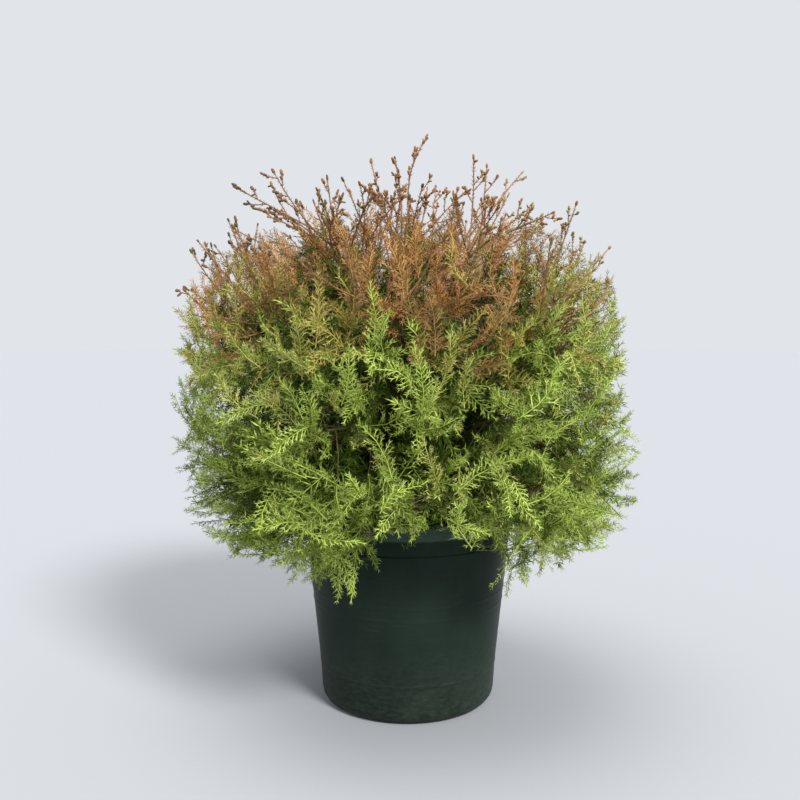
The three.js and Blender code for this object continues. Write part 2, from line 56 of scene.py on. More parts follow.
# The plant's named sizes, the same as its solids have.
POT = Sizes(
    height=127, wall=2, floor=3, foot_radius=49, foot_curve=7.2, base_radius=55.2, flare=0.1,
    groove_height=108, groove_depth=0.8, collar_radius=66.3, lip_bottom=117.5, lip_radius=68,
    lip_curve=1.6, lip_inner=64.2, edge=0.6,
)
MEDIUM = Sizes(top=116, edge_top=113.5, dip_top=114.5, ridge_top=115, seat_radius=14)
GAP = 0.3
STEM = Sizes(
    top=256, radius=6.2, tip_radius=1.7, flare_radius=5.2, flare_height=9, lean_x=-5, lean_y=4,
)
CROWN = Sizes(
    girth=149, belly_low=128, belly_high=236, crest=322, dome_roundness=2.3,
    hem_radius=86, hem_drop=44,
)
HEMS = (106, 95, 90, 98, 103, 88, 134, 86)
TIERS = (
    Sizes(
        name="skirt", count=8, phase=8, rise=121, rise_step=1.3, bough_radius=2.1,
        foot=(60, 140), tip=(147, 118), site=(104, 122),
    ),
    Sizes(
        name="waist", count=8, phase=30, rise=134, rise_step=1.5, bough_radius=2.2,
        foot=(54, 168), tip=(148, 190), site=(104, 180),
    ),
    Sizes(
        name="shoulder", count=7, phase=12, rise=150, rise_step=2.2, bough_radius=2.1,
        foot=(46, 204), tip=(141, 258), site=(100, 243),
    ),
    Sizes(
        name="top", count=4, phase=40, rise=178, rise_step=5, bough_radius=1.8,
        foot=(26, 236), tip=(78, 306), site=(56, 288),
    ),
)
PLAN = Sizes(
    seed_first=17, seed_step=7919, foot_vary=3, tip_height_vary=7, tip_out_vary=2, turn_vary=6,
    hem_below_tip=14, foot_lift=0.3, site_drop=0.45, bough_bend_out=0.62, bough_bend_up=0.38,
    stem_bend=0.45, rise_stride=3, tip_gap=0.4,
)
CREST = Sizes(tip=(2, -3, 320), site_rise=8)
MASS_STEM_RADIUS = 1.3
SHOOT_TIPS = (
    (-118, 24, 301), (-105, -22, 327), (-91, 34, 336), (-79, -44, 333), (-58, 62, 325),
    (-40, -14, 332), (-24, 20, 348), (-8, -52, 340), (9, -6, 356), (22, 58, 334), (39, -30, 343),
    (52, 26, 346), (70, -12, 337), (84, 44, 322), (105, -8, 318), (126, 12, 283),
)


# Directions and curves

def unit(vectors):
    return vectors / np.maximum(np.linalg.norm(vectors, axis=-1, keepdims=True), 1e-9)


def between(first, last, share):
    return first + (last - first) * share


def circle(sides):
    """Evenly spaced angles round a circle."""
    return np.arange(sides) / sides * 2 * math.pi


def round_axis(radius, angle, height):
    """Points at radii, angles and heights, each of which is one number or an array."""
    return np.stack(np.broadcast_arrays(radius * np.cos(angle), radius * np.sin(angle), height), axis=-1)


def polar(out, degrees, height):
    return round_axis(out, math.radians(degrees), height)


def out_of(points):
    """How far each point is from the plant's axis."""
    return np.hypot(points[:, 0], points[:, 1])


def bezier(curve, along):
    """Points of a quadratic curve, given by its three controls."""
    start, bend, end = curve
    t = np.asarray(along, float)[..., None]
    return (1 - t) ** 2 * start + 2 * t * (1 - t) * bend + t ** 2 * end


def bezier_heading(curve, along):
    start, bend, end = curve
    t = np.asarray(along, float)[..., None]
    return unit((1 - t) * (bend - start) + t * (end - bend))


def bezier_lines(curve, steps):
    """Polylines along a whole set of curves."""
    return np.stack([bezier(curve, np.full(len(curve[0]), step)) for step in steps], axis=1)


def across_of(headings, outs):
    """Directions square to the headings and level with the surface that faces out there."""
    flat = np.cross(headings, outs)
    weak = np.linalg.norm(flat, axis=-1) < WEAK
    flat[weak] = np.cross(headings[weak], ASKEW)
    return unit(flat)


def turned(vectors, axes, angles):
    """The vectors turned about unit axes by angles in radians."""
    c = np.cos(angles)[..., None]
    s = np.sin(angles)[..., None]
    along = np.sum(vectors * axes, axis=-1, keepdims=True) * axes
    return vectors * c + np.cross(axes, vectors) * s + along * (1 - c)


def leant(headings, asides, degrees):
    """Directions that lean from the headings to one side by angles in degrees."""
    angle = np.radians(degrees)[:, None]
    return headings * np.cos(angle) + asides * np.sin(angle)


def signs_of(numbers):
    """1 for even numbers and -1 for odd ones."""
    return np.where(numbers % 2 == 0, 1.0, -1.0)


# The plan of the crown: stem, boughs and the space of each mass, by the same rule as the solids

def random_from(seed):
    state = seed

    def draw():
        nonlocal state
        state = (state * 1664525 + 1013904223) % 4294967296
        return state / 4294967296

    return draw


def dome_arc(share):
    """The dome's profile: its height at a share of its reach, or the other way round."""
    return (1 - share ** CROWN.dome_roundness) ** (1 / CROWN.dome_roundness)


def crown_reach(height):
    """How far from its axis the crown reaches at each height."""
    height = np.asarray(height, float)
    dome = np.clip((height - CROWN.belly_high) / (CROWN.crest - CROWN.belly_high), 0, 1)
    hem = np.clip((CROWN.belly_low - height) / CROWN.hem_drop, 0, 1)
    drawn_in = between(CROWN.girth, CROWN.hem_radius, hem)
    return np.where(height < CROWN.belly_low, drawn_in, CROWN.girth * dome_arc(dome))


STEM_CURVE = (
    np.array([0, 0, MEDIUM.top + GAP]),
    np.array([0, 0, (MEDIUM.top + STEM.top) / 2]),
    np.array([STEM.lean_x, STEM.lean_y, STEM.top], float),
)


def stem_radius(along):
    height = along * (STEM.top - MEDIUM.top)
    flare = STEM.flare_radius * np.exp(-height / STEM.flare_height)
    return between(STEM.radius, STEM.tip_radius, along) + flare


def plan_mass(tier, index, number):
    degrees = tier.phase + 360 / tier.count * index
    draw = random_from(number * PLAN.seed_step + PLAN.seed_first)

    def vary(most):
        return most * (2 * draw() - 1)

    is_skirt = tier.name == "skirt"
    hem = HEMS[index] if is_skirt else CROWN.belly_low
    hang = tier.tip[1] - PLAN.hem_below_tip - hem if is_skirt else 0
    foot_height = tier.foot[1] + PLAN.foot_lift * max(-hang, 0)
    foot = polar(tier.foot[0] + vary(PLAN.foot_vary), degrees, foot_height)
    tip_height = tier.tip[1] - hang + vary(PLAN.tip_height_vary)
    tip_out = min(tier.tip[0] + vary(PLAN.tip_out_vary), float(crown_reach(tip_height)))
    tip = polar(tip_out, degrees + vary(PLAN.turn_vary), tip_height)
    rise = tier.rise + tier.rise_step * ((index * PLAN.rise_stride) % tier.count)
    start = bezier(STEM_CURVE, (rise - MEDIUM.top) / (STEM.top - MEDIUM.top))
    bend_height = between(rise, foot[2], PLAN.bough_bend_up)
    bough = (start, polar(tier.foot[0] * PLAN.bough_bend_out, degrees, bend_height), foot)
    heading = bezier_heading(bough, 1.0)
    begin = foot + heading * PLAN.tip_gap
    bend = begin + heading * np.linalg.norm(tip - begin) * PLAN.stem_bend
    return Sizes(
        node=f"foliage_{tier.name}_{index + 1}", bough_node=f"bough_{tier.name}_{index + 1}",
        tier=tier.name, hem=hem, bough=bough, bough_radius=tier.bough_radius,
        site=polar(tier.site[0], degrees, tier.site[1] - PLAN.site_drop * hang),
        curve=(begin, bend, tip),
    )


def plan_crest():
    start = STEM_CURVE[2] + bezier_heading(STEM_CURVE, 1.0) * PLAN.tip_gap
    tip = np.array(CREST.tip, float)
    site = np.array([0, 0, (STEM.top + CREST.tip[2]) / 2 + CREST.site_rise])
    return Sizes(
        node="foliage_crest", bough_node=None, tier="top", hem=CROWN.belly_low, site=site,
        curve=(start, (start + tip) / 2, tip),
    )


def plan_masses():
    found = []
    for tier in TIERS:
        for index in range(tier.count):
            found.append(plan_mass(tier, index, len(found)))
    found.append(plan_crest())
    return found


MASSES = plan_masses()
SITES = np.array([mass.site for mass in MASSES])
MASS_HEMS = np.array([mass.hem for mass in MASSES], float)


def nearest_masses(points):
    """The number of the mass whose space each point is in, and how far inside that space it is."""
    apart = np.linalg.norm(points[:, None, :] - SITES[None, :, :], axis=2)
    order = np.argsort(apart, axis=1)
    rows = np.arange(len(points))
    first, second = order[:, 0], order[:, 1]
    span = np.linalg.norm(SITES[first] - SITES[second], axis=1)
    inside = (apart[rows, second] ** 2 - apart[rows, first] ** 2) / (2 * span)
    return first, inside


def reach_at(points):
    """How far out the foliage reaches at the height of each point, a little less on the right."""
    to_right = np.clip(points[:, 0] / np.maximum(out_of(points), 1), 0, 1)
    upper = np.interp(points[:, 2], *FAN.right_from)
    return crown_reach(points[:, 2]) - FAN.right_in * to_right * upper


def depth_in_dome(points):
    """How far below the crown's dome each point is."""
    rise = dome_arc(np.clip(out_of(points) / CROWN.girth, 0, 1))
    return between(CROWN.belly_high, CROWN.crest, rise) - points[:, 2]


def clear_of_pot(points, room):
    return (points[:, 2] > POT.height + room) | (out_of(points) > POT.lip_radius + room)


def is_free(points, masses):
    """True where a point is in its mass's space and in the crown, clear of the pot."""
    owners, inside = nearest_masses(points)
    at_home = (owners == masses) | (inside < FAN.overlap)
    in_crown = out_of(points) < reach_at(points) + FAN.slack
    above_hem = points[:, 2] > MASS_HEMS[owners] + FAN.slack
    below_top = points[:, 2] < FAN.highest
    return at_home & in_crown & above_hem & below_top & clear_of_pot(points, FAN.pot_room)


# Where the sprays stand: fans of sprays whose tips are dealt out evenly over the crown

FAN = Sizes(
    overlap=20, slack=-1.5, pot_room=1.5, root_room=9, highest=319, right_in=12,
    right_from=((165, 200), (0, 1)), tries=3, sizes=(1, 0.82, 0.66, 0.52), stray=0.16, roll=0.75,
    stem_from=0.04, stem_shown=0.84, stem_places=24, scatter=8, stem_back=34, pull=0.14, sag=0.16,
    side_angle=(36, 52), side_along=(0.5, 0.95), side_share=0.78,
)
TWIG = Sizes(radius=0.32, tip_radius=0.24, steps=5, stem_sides=6, sides=3, redder_from=236)
OUTLINE_STEPS = Sizes(hem=30, dome=90)
# What changes with the height of a spray's tip: the heights, and the value at each. Sprays rise
# above the level by these degrees, and stray round the crown (SWIRL) and up or down (LIFT).
RISE = ((80, 100, 120, 140, 165, 200, 250, 290, 330), (-72, -46, -10, 12, 27, 40, 52, 62, 76))
SWIRL = ((120, 190), (27, 44))
LIFT = ((200, 270), (13, 22))
# They are longer and stand closer together on the skirt's hem, and fewer stand on the open dome.
LONG = ((130, 200), (1.35, 1))
DENSE = ((115, 135), (1.7, 1))
OPEN = ((268, 292, 318), (1, 0.85, 0.6))
# Each layer of fans: how far inside the crown's outline their tips lie, how they are made, and how
# much of it is shaded foliage. The last are short tufts on the dome.
LAYERS = (
    Sizes(fans=640, depth=(0, 13), length=(30, 44), width=8.6, sides=2, fine=1.0, lowest=0, shade=0),
    Sizes(fans=440, depth=(11, 32), length=(30, 42), width=10, sides=2, fine=2.0, lowest=119, shade=0.7),
    Sizes(fans=680, depth=(26, 118), length=(34, 46), width=14, sides=1, fine=3.1, lowest=122, shade=1),
    Sizes(fans=240, depth=(0, 9), length=(24, 34), width=6.5, sides=2, fine=1.0, lowest=282, shade=0),
)
SPRAY = Sizes(
    pair_spacing=2.6, first=0.05, last=0.95, stray=0.015, angle=48, angle_loss=15, angle_vary=8,
    tilt=0.32, bow=0.19, sway=0.15, droop=0.06, first_width=0.55, width_gain=1.6, width_loss=0.66,
    loss_power=1.5, vary=(0.75, 1.15), end_length=5.5, radii=(0.34, 0.2), steps=4, sides=3,
)
NEEDLE = Sizes(
    pair_spacing=1.5, first=0.6, bare_tip=0.4, length=3.1, width=0.46, angle=40, angle_loss=14,
    roll=0.3, stray=0.1, vary=0.2, shrink=0.25, widest=0.4, fold=0.3, past_axis=1, axis_width=0.55,
    light_from=0.45, coarsening=0.65,
)


def crown_outline():
    """The crown's profile from hem to crest, as rows of radius and height."""
    share = np.linspace(1, 0, OUTLINE_STEPS.hem)
    hem_out = between(CROWN.girth, CROWN.hem_radius, share)
    hem = np.stack([hem_out, CROWN.belly_low - CROWN.hem_drop * share], axis=1)
    power = 2 / CROWN.dome_roundness
    turn = np.linspace(0, math.pi / 2, OUTLINE_STEPS.dome)
    dome_out = CROWN.girth * np.clip(np.cos(turn), 0, 1) ** power
    dome_up = between(CROWN.belly_high, CROWN.crest, np.sin(turn) ** power)
    return np.concatenate([hem, np.stack([dome_out, dome_up], axis=1)])


def crown_points(count, offset):
    """Points spread evenly by area over the crown on a golden spiral, with the way out at each."""
    outline = crown_outline()
    middles = (outline[1:] + outline[:-1]) / 2
    steps = np.linalg.norm(np.diff(outline, axis=0), axis=1)
    dense = np.interp(middles[:, 1], *DENSE)
    area = np.concatenate([[0], np.cumsum(steps * middles[:, 0] * dense)])
    share = (np.arange(count) + 0.5) / count * area[-1]
    radius, height = (np.interp(share, area, column) for column in outline.T)
    run, rise = (np.interp(share, area, column) for column in np.gradient(outline, axis=0).T)
    angle = np.arange(count) * GOLDEN_ANGLE + offset
    return round_axis(radius, angle, height), unit(round_axis(rise, angle, -run))


def closest_on_stems(masses, points):
    """For each point, the place on its mass's stem from which a twig would best reach it."""
    along = np.linspace(FAN.stem_from, FAN.stem_shown, FAN.stem_places)
    stems = np.stack([bezier(mass.curve, along) for mass in MASSES])
    headings = np.stack([bezier_heading(mass.curve, along) for mass in MASSES])
    apart = np.linalg.norm(stems[masses] - points[:, None, :], axis=2)
    best = np.argmin(apart, axis=1) - np.arange(len(points)) % FAN.scatter
    best = np.maximum(best, 0)
    return stems[masses, best], headings[masses, best]


def spray_headings(points, outs, rng):
    """Sprays lean out from the crown's axis, rise by their height, and swirl to either side."""
    turn = rng.normal(0, 1, len(points)) * np.interp(points[:, 2], *SWIRL)
    level = turned(unit(outs * (1, 1, 0)), UP, np.radians(turn))
    stray = rng.normal(0, 1, len(points)) * np.interp(points[:, 2], *LIFT)
    return unit(leant(level, UP, np.interp(points[:, 2], *RISE) + stray))


def take(rows, chosen):
    """The same parts of every array of a set of rows."""
    return Sizes(**{name: values[chosen] for name, values in vars(rows).items()})


def join_rows(sets):
    names = vars(sets[0])
    return Sizes(**{name: np.concatenate([getattr(rows, name) for rows in sets]) for name in names})


def sprays_that_fit(tips, headings, outs, lengths, masses, rng, layer, fan_tips):
    """Sprays that end at the given tips, shortened until they fit, with size 0 where none does."""
    flats = across_of(headings, outs)
    flats = turned(flats, headings, rng.uniform(-FAN.roll, FAN.roll, len(tips)))
    bows = rng.uniform(-SPRAY.bow, SPRAY.bow, len(tips))
    sways = rng.uniform(-SPRAY.sway, SPRAY.sway, len(tips))
    bent = np.cross(headings, flats) * bows[:, None] + flats * sways[:, None] - headings / 2
    size = np.zeros(len(tips))
    roots = tips - headings * lengths[:, None]
    rooted = clear_of_pot(roots, FAN.root_room)
    for share in FAN.sizes:
        reach = lengths * share
        ends = tips - headings * (lengths - reach)[:, None]
        wide = flats * (layer.width * share)
        middle = ends + bent * reach[:, None]
        fits = is_free(ends, masses) & is_free(middle + wide, masses) & is_free(middle - wide, masses)
        size = np.where((size == 0) & fits & rooted, share, size)
    return Sizes(
        root=roots, heading=headings, flat=flats, bow=bows, sway=sways, size=size, mass=masses,
        length=lengths * size, width=layer.width * np.sqrt(size), fan_tip=fan_tips,
        fine=np.full(len(tips), layer.fine), shade=np.full(len(tips), layer.shade),
    )


def grow_layer(layer, number):
    """One layer of fans: their sprays, and the curves of the twigs that carry them.

    Each fan is tried in a few directions, and stands in the first that fits.
    """
    rng = np.random.default_rng(PLAN.seed_step + number)
    points, outs = crown_points(layer.fans, number)
    points = points - outs * rng.uniform(*layer.depth, len(points))[:, None]
    stands = rng.uniform(0, 1, len(points)) < np.interp(points[:, 2], *OPEN)
    stands = stands & (points[:, 2] > layer.lowest)
    fans = np.tile(np.nonzero(stands)[0], FAN.tries)
    points, outs = points[fans], outs[fans]
    masses, _ = nearest_masses(points)
    headings = spray_headings(points, outs, rng)
    lengths = rng.uniform(*layer.length, len(points)) * np.interp(points[:, 2], *LONG)
    ends = sprays_that_fit(points, headings, outs, lengths, masses, rng, layer, points)
    starts, ways = closest_on_stems(ends.mass, ends.root - ends.heading * FAN.stem_back)
    gap = np.linalg.norm(ends.root - starts, axis=1, keepdims=True)
    bends = (starts + ends.root) / 2 + ((ways - ends.heading) * FAN.pull - outs * FAN.sag) * gap
    fits = np.nonzero((ends.size > 0) & is_free(bends, ends.mass))[0]
    _, firsts = np.unique(fans[fits], return_index=True)
    kept = fits[firsts]
    ends, points, outs = take(ends, kept), points[kept], outs[kept]
    twigs = (starts[kept], bends[kept], ends.root)
    sprays = [ends]
    for side in range(layer.sides):
        share = (side + rng.uniform(0, 1, len(points))) / layer.sides
        along = between(*FAN.side_along, share)
        roots = bezier(twigs, along)
        sign = signs_of(side + np.arange(len(roots)))
        angle = np.radians(rng.uniform(*FAN.side_angle, len(roots))) * sign
        normals = np.cross(ends.heading, ends.flat)
        ways = turned(bezier_heading(twigs, along), normals, angle)
        ways = unit(ways + rng.normal(0, FAN.stray, roots.shape))
        reach = rng.uniform(*layer.length, len(roots)) * FAN.side_share
        tips = roots + ways * reach[:, None]
        rows = sprays_that_fit(tips, ways, outs, reach, ends.mass, rng, layer, points)
        sprays.append(take(rows, rows.size > 0))
    return join_rows(sprays), twigs


# Growing a spray: its axis, side branchlets in pairs, and pairs of needles on each

def axis_points(sprays, chosen, along):
    """Points along the axes of the chosen sprays, which bow, sway and droop a little."""
    t = along[:, None]
    length = sprays.length[chosen, None]
    heading = sprays.heading[chosen]
    normal = np.cross(heading, sprays.flat[chosen])
    bent = 4 * t * (1 - t) * length
    points = sprays.root[chosen] + heading * length * t
    points = points + normal * sprays.bow[chosen, None] * bent
    points = points + sprays.flat[chosen] * sprays.sway[chosen, None] * bent
    return points - UP * SPRAY.droop * length * t ** 2


def places_along(lengths, first, spacing, last, stray=0, rng=None):
    """Places along limbs, from first to last by a spacing: limb, place and how far along it is."""
    steps = np.arange(int(np.max(lengths / spacing)) + 1)
    reach = first[:, None] + steps * spacing[:, None]
    if stray:
        reach = reach + rng.uniform(-stray, stray, reach.shape) * spacing[:, None]
    owner, place = np.nonzero(reach < last[:, None])
    return owner, place, reach[owner, place]


def in_pairs(*rows):
    """Every entry of the rows twice, and a sign that tells the two apart."""
    return *(np.repeat(row, 2) for row in rows), np.tile([1.0, -1.0], len(rows[0]))


def grow_branchlets(sprays, rng):
    """Side branchlets in pairs along every spray, and one that ends it."""
    lengths = sprays.length
    spacing = SPRAY.pair_spacing * sprays.fine
    owner, _, reach = places_along(lengths, SPRAY.first * lengths, spacing, SPRAY.last * lengths)
    owner, along, sign = in_pairs(owner, reach / lengths[owner])
    along = along + rng.uniform(-SPRAY.stray, SPRAY.stray, len(owner))
    heading = sprays.heading[owner]
    flat = sprays.flat[owner]
    normal = np.cross(heading, flat)
    angle = SPRAY.angle - SPRAY.angle_loss * along + rng.normal(0, SPRAY.angle_vary, len(owner))
    tilt = rng.normal(0, SPRAY.tilt, len(owner))[:, None]
    way = unit(leant(heading, flat * sign[:, None], angle) + normal * tilt)
    shape = np.minimum(1, SPRAY.first_width + SPRAY.width_gain * along)
    shape = shape * (1 - SPRAY.width_loss * along ** SPRAY.loss_power)
    sides = Sizes(
        root=axis_points(sprays, owner, along), way=way, side=unit(np.cross(normal, way)),
        length=sprays.width[owner] * shape * rng.uniform(*SPRAY.vary, len(owner)),
        spray=owner, fine=sprays.fine[owner],
    )
    every = np.arange(len(lengths))
    ends = Sizes(
        root=axis_points(sprays, every, np.full(len(every), SPRAY.last)),
        way=unit(sprays.heading - UP * SPRAY.droop), side=sprays.flat,
        length=np.full(len(every), SPRAY.end_length), spray=every, fine=sprays.fine,
    )
    return join_rows([sides, ends])


def grow_needles(branchlets, rng):
    """Pairs of needles along every branchlet, each pair turned square to the last, and its axis."""
    lengths = branchlets.length
    spacing = NEEDLE.pair_spacing * branchlets.fine
    first = np.full(len(lengths), NEEDLE.first)
    owner, place, reach = places_along(lengths, first, spacing, lengths - NEEDLE.bare_tip)
    owner, place, reach, sign = in_pairs(owner, place, reach)
    share = reach / lengths[owner]
    way = branchlets.way[owner]
    turn = (place % 2) * (math.pi / 2) + rng.normal(0, NEEDLE.roll, len(owner))
    across = turned(branchlets.side[owner], way, turn)
    heading = leant(way, across * sign[:, None], NEEDLE.angle - NEEDLE.angle_loss * share)
    heading = unit(heading + rng.normal(0, NEEDLE.stray, heading.shape))
    coarse = branchlets.fine ** NEEDLE.coarsening
    size = rng.uniform(1 - NEEDLE.vary, 1 + NEEDLE.vary, len(owner))
    size = size * (1 - NEEDLE.shrink * share) * coarse[owner]
    # Needles on the outer part of a branchlet, and all the axes, are marked for the paler colour: a
    # painted highlight.
    needles = Sizes(
        root=branchlets.root[owner] + way * reach[:, None], way=heading,
        side=unit(np.cross(np.cross(heading, way), heading)), length=NEEDLE.length * size,
        width=NEEDLE.width * size, spray=branchlets.spray[owner], light=share > NEEDLE.light_from,
    )
    axes = Sizes(
        root=branchlets.root, way=branchlets.way, side=branchlets.side,
        length=lengths + NEEDLE.past_axis, width=NEEDLE.axis_width * coarse,
        spray=branchlets.spray, light=np.ones(len(coarse), bool),
    )
    return join_rows([needles, axes])


# Open shoots of small scaly clubs that stand out of the dome

SHOOT = Sizes(
    more=110, sites=440, lowest=255, highest=341, stand=(3, 19), low_stand=9, low_gain=0.3,
    upright=2.4, inset=5, right_inset=10, below=46, bend_at=(0.66, 0.66, 0.42), bend=0.12, sag=0.12,
    radii=(0.55, 0.32), steps=9, sides=5, first=0.48, last=0.97, spacing=6.5, stray=0.25,
    branch=(15, 7), branch_vary=0.5, low_branch=0.55, angle=42, angle_vary=15, roll=1.2, upward=0.3,
    branch_radii=(0.36, 0.25), branch_steps=4, branch_sides=4, paler_from=70, needle_size=0.8,
    tone_vary=0.7,
)
CLUB = Sizes(
    first=0.62, spacing=1.5, angle=50, angle_vary=20, turn=1.1, length=(1.8, 3.8), radius=0.88,
    vary=(0.7, 1.2), deepest=5, sides=4, rings=(0, 0.28, 0.5, 0.76, 1),
    swell=(0.5, 1, 0.85, 0.95, 0.2),
)


def shoot_stems(rng):
    """The curves of the shoots' stems: those of the solids, and more between them."""
    points, outs = crown_points(SHOOT.sites, len(LAYERS))
    chosen = np.nonzero(points[:, 2] > SHOOT.lowest)[0]
    chosen = chosen[np.linspace(0, len(chosen) - 1, SHOOT.more).astype(int)]
    points, outs = points[chosen], outs[chosen]
    most = np.minimum(SHOOT.stand[1], SHOOT.highest - points[:, 2])
    most = np.minimum(most, SHOOT.low_stand + SHOOT.low_gain * (points[:, 2] - SHOOT.lowest))
    inset = SHOOT.inset + SHOOT.right_inset * np.clip(points[:, 0] / CROWN.girth, 0, 1)
    stand = rng.uniform(SHOOT.stand[0], most)[:, None]
    tips = points - outs * inset[:, None] + unit(outs + UP * SHOOT.upright) * stand
    tips = np.concatenate([SHOOT_TIPS, tips])
    starts, _ = closest_on_stems(nearest_masses(tips)[0], tips - UP * SHOOT.below)
    lean = rng.normal(0, SHOOT.bend, starts.shape) - unit(tips * (1, 1, 0)) * SHOOT.sag
    lean = lean * np.linalg.norm(tips - starts, axis=1, keepdims=True)
    return starts, between(starts, tips, SHOOT.bend_at) + lean, tips


def places_on(curves, lengths, kind, rng):
    """Places along the curves that carry a kind of limb: carrier, place, share, point and heading."""
    spacing = np.full(len(lengths), kind.spacing)
    ends = (kind.first * lengths, spacing, SHOOT.last * lengths)
    owner, place, reach = places_along(lengths, *ends, SHOOT.stray, rng)
    share = np.clip(reach / lengths[owner], 0, 1)
    curves = tuple(control[owner] for control in curves)
    return owner, place, share, bezier(curves, share), bezier_heading(curves, share)


def ways_aside(headings, flats, place, kind, rng):
    """Directions that lean from the headings to alternate sides, by the kind's angle."""
    degrees = rng.normal(kind.angle, kind.angle_vary, len(place))
    return leant(headings, flats * signs_of(place)[:, None], degrees)


def grow_shoots(rng):
    """Stems, side branchlets and clubs of every shoot."""
    stems = shoot_stems(rng)
    lengths = np.linalg.norm(stems[2] - stems[0], axis=1)
    owner, place, share, roots, headings = places_on(stems, lengths, SHOOT, rng)
    roll = owner * GOLDEN_ANGLE + rng.normal(0, SHOOT.roll, len(owner))
    flats = turned(across_of(headings, UP), headings, roll)
    ways = ways_aside(headings, flats, place, SHOOT, rng)
    reach = between(*SHOOT.branch, share)
    reach = reach * rng.uniform(1 - SHOOT.branch_vary, 1 + SHOOT.branch_vary, len(owner))
    reach = reach * np.interp(roots[:, 2], (SHOOT.lowest, CROWN.crest), (SHOOT.low_branch, 1))
    ends = roots + unit(ways + headings * SHOOT.upward) * reach[:, None]
    branches = (roots, roots + ways * (reach / 2)[:, None], ends)
    owner, place, _, roots, headings = places_on(branches, reach, CLUB, rng)
    sides = turned(flats[owner], headings, (place % 3) * CLUB.turn)
    ways = unit(ways_aside(headings, sides, place, CLUB, rng))
    tip_ways = [bezier_heading(limbs, np.ones(len(limbs[0]))) for limbs in (branches, stems)]
    roots = np.concatenate([roots, branches[2], stems[2]])
    ways = np.concatenate([ways, *tip_ways])
    shown = depth_in_dome(roots) < CLUB.deepest
    return stems, branches, roots[shown], ways[shown]


def club_mesh(roots, ways, rng):
    """Clubs as small closed spindles with two swellings, like short scaly tips."""
    length = rng.uniform(*CLUB.length, len(roots))
    lines = roots[:, None] + ways[:, None] * (length[:, None] * np.array(CLUB.rings))[..., None]
    size = rng.uniform(*CLUB.vary, len(roots))[:, None]
    return tube_mesh(lines, CLUB.radius * size * np.array(CLUB.swell), CLUB.sides)


# Meshes from arrays

def halved(quads):
    """Four-sided faces as two triangles each."""
    return quads[:, [0, 1, 2, 0, 2, 3]].reshape(-1, 3)


def ring_walls(rings, sides):
    """Four-sided faces between one ring of corners and the next."""
    here = np.arange(sides)
    wall = np.stack([here, (here + 1) % sides, (here + 1) % sides + sides, here + sides], axis=-1)
    return (np.arange(rings - 1)[:, None, None] * sides + wall).reshape(-1, 4)


def blade_mesh(blades):
    """Kite-shaped blades of two faces, folded along their middle line: corners and faces."""
    normal = np.cross(blades.way, blades.side)
    wide = blades.root + blades.way * (blades.length * NEEDLE.widest)[:, None]
    half = (blades.width / 2)[:, None]
    sunk = normal * half * (2 * NEEDLE.fold)
    corners = np.stack([
        blades.root,
        wide + blades.side * half - sunk,
        blades.root + blades.way * blades.length[:, None],
        wide - blades.side * half - sunk,
    ], axis=1).reshape(-1, 3)
    return corners, halved(np.arange(len(corners)).reshape(-1, 4))


def tube_mesh(lines, radii, sides):
    """Tubes of many sides along polylines: corners and faces. The radii may differ round a ring."""
    count, steps = lines.shape[:2]
    heading = unit(np.gradient(lines, axis=1))
    side = unit(np.cross(heading, LEANING))
    rise = np.cross(heading, side)
    angle = circle(sides)[:, None]
    ring = side[:, :, None] * np.cos(angle) + rise[:, :, None] * np.sin(angle)
    radii = radii if radii.ndim == 3 else radii[..., None]
    corners = (lines[:, :, None] + ring * radii[..., None]).reshape(-1, 3)
    fan = np.arange(1, sides - 1)
    lid = np.stack([0 * fan, fan, fan + 1], axis=-1) + (steps - 1) * sides
    faces = np.concatenate([halved(ring_walls(steps, sides)), lid])
    return corners, (np.arange(count)[:, None, None] * steps * sides + faces).reshape(-1, 3)


def taper(radii, count, steps):
    """Radii that run from the first to the last along each of many limbs."""
    return np.broadcast_to(between(*radii, steps), (count, len(steps)))


def stalks_mesh(curves, radii, steps, sides, shown=1):
    """Tapered tubes along the first share of many curves."""
    steps = np.linspace(0, 1, steps)
    return tube_mesh(bezier_lines(curves, steps * shown), taper(radii, len(curves[0]), steps), sides)


def joined(parts):
    """Several meshes' corners and faces as those of one."""
    start = np.cumsum([0] + [len(corners) for corners, _ in parts])
    corners = np.concatenate([corners for corners, _ in parts])
    faces = np.concatenate([faces + first for (_, faces), first in zip(parts, start)])
    return corners, faces


def add_to_scene(name, data):
    made = bpy.data.objects.new(name, data)
    bpy.context.scene.collection.objects.link(made)
    return made


def new_piece(name, parts, materials, numbers=None):
    """One smooth mesh object on the plant's body. The numbers tell each limb's material, by part."""
    numbers = numbers or [[0]] * len(parts)
    slots = [np.repeat(each, len(faces) // len(each)) for each, (_, faces) in zip(numbers, parts)]
    corners, faces = joined(parts)
    mesh = bpy.data.meshes.new(name)
    mesh.from_pydata((corners * MM).tolist(), [], faces.tolist())
    mesh.shade_smooth()
    mesh.polygons.foreach_set("material_index", np.concatenate(slots).astype(np.int32))
    for material in materials:
        mesh.materials.append(material)
    piece = add_to_scene(name, mesh)
    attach(piece, "root")
    return piece


# Plain colours, in screen numbers, and how the sprays share them out

# Each tone is a pair: the inner needles' colour, and a paler one for the outer needles and the axes,
# which is a painted highlight.
COLOURS = {
    "deep": ((60, 76, 14), (94, 113, 37)),
    "green": ((90, 108, 21), (143, 161, 72)),
    "lime": ((118, 140, 30), (179, 196, 98)),
    "gold": ((126, 134, 36), (182, 186, 104)),
    "olive": ((118, 112, 40), (170, 158, 80)),
    "umber": ((116, 92, 46), (160, 130, 78)),
    "bronze": ((146, 104, 50), (192, 144, 86)),
    "rust": ((142, 94, 48), (190, 132, 78)),
    "shaded": ((50, 66, 11), (73, 93, 23)),
    "dry": ((70, 58, 34), (96, 82, 54)),
}
TONE_NAMES = tuple(COLOURS)
